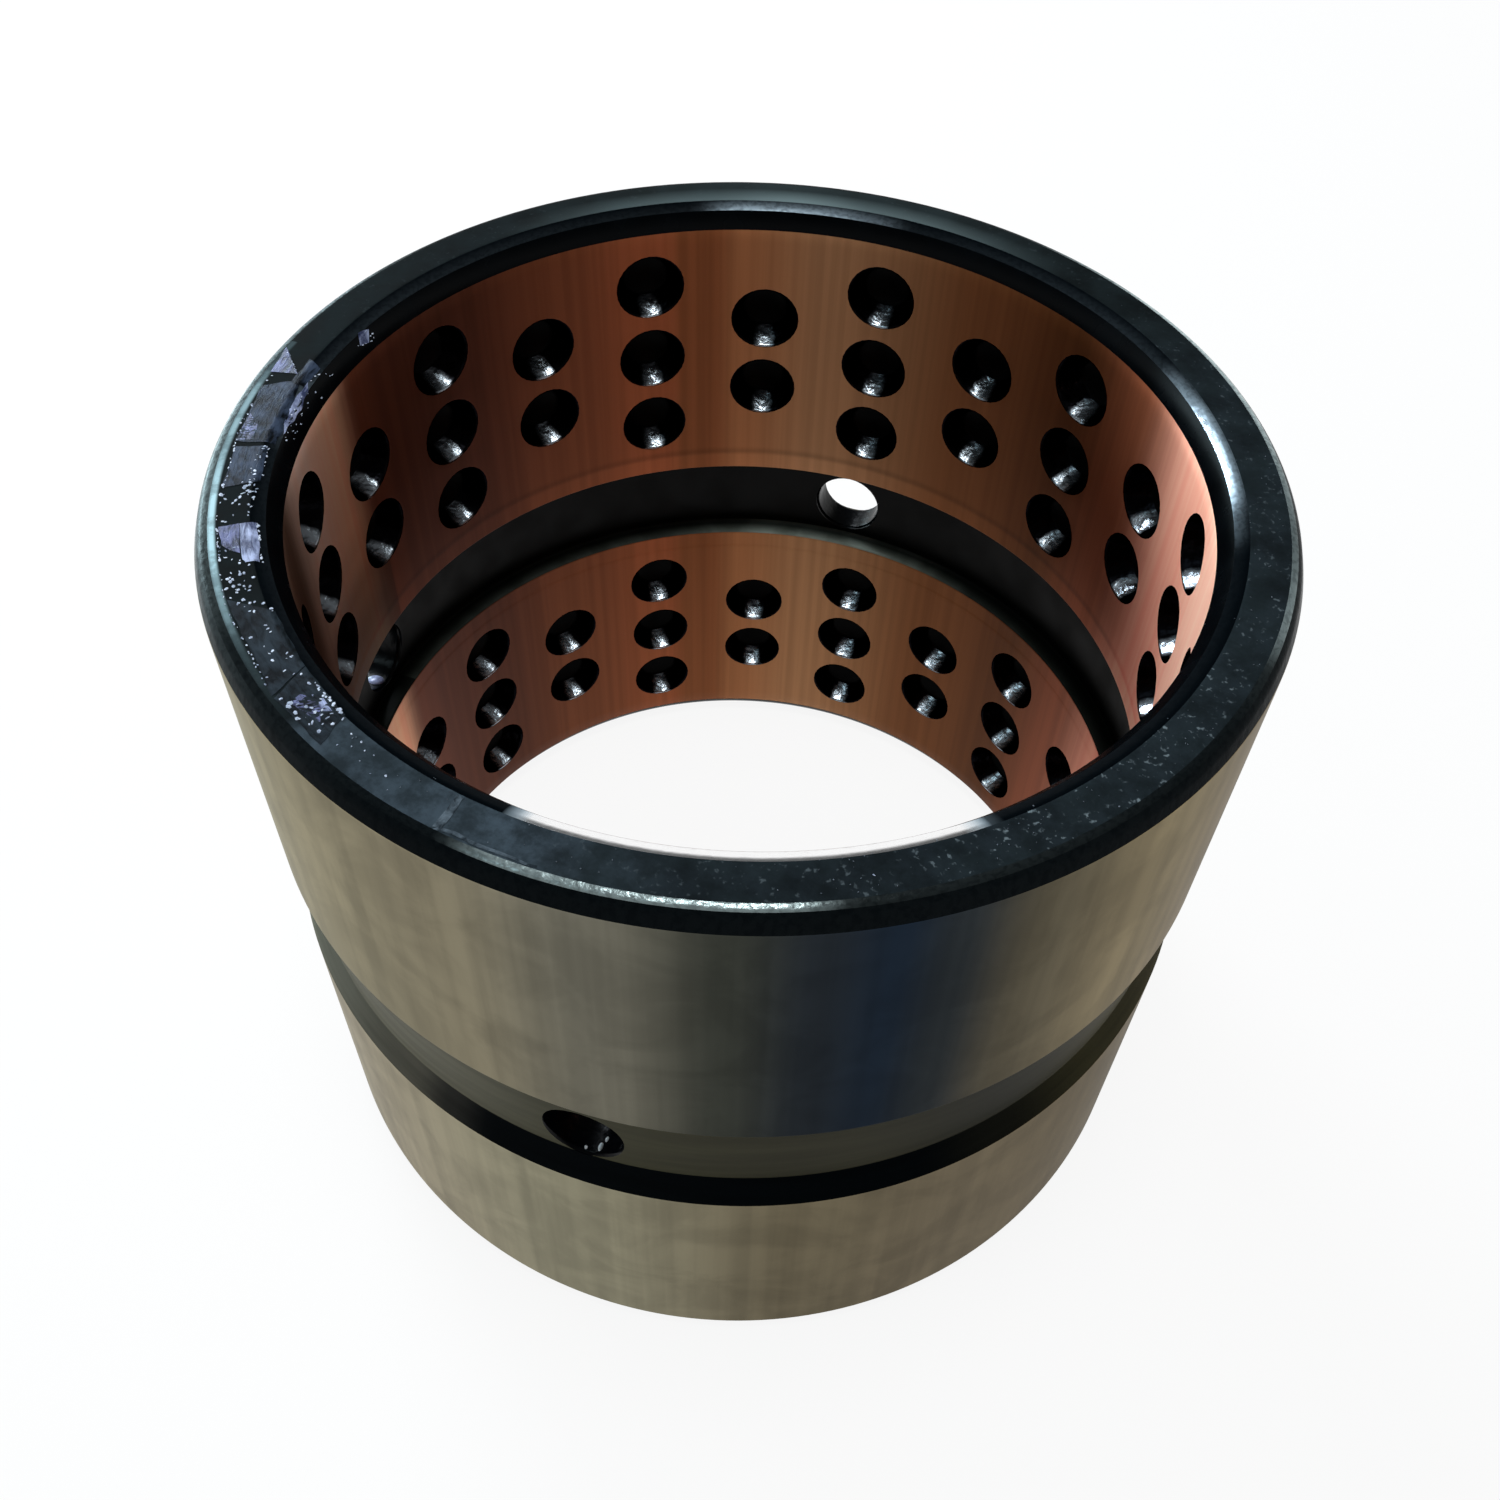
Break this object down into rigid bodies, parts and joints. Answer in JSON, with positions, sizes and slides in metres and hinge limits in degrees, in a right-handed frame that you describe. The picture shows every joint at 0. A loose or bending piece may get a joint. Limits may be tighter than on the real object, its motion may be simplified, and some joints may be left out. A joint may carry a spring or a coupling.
{
  "type": "grease-pocketed pin bushing",
  "caption": "Cylindrical steel pin bushing: drilled grease pockets in the bore, a grease groove inside and outside, radial grease holes and chamfered ends.",
  "frame": {"origin": "centre of the lower end face", "axes": "+Z along the bore axis, from one end face to the other; +X through the first short column of pockets, 2.2 degrees from a grease hole"},
  "size_m": [0.095, 0.095, 0.078],
  "materials": {
    "steel": "black oxide on the end faces, chamfers, grooves, pockets and holes; ground bare steel outside; copper-coloured coat on the bore lands"
  },
  "bodies": {
    "root": {"bushing": "steel"}
  },
  "joints": []
}
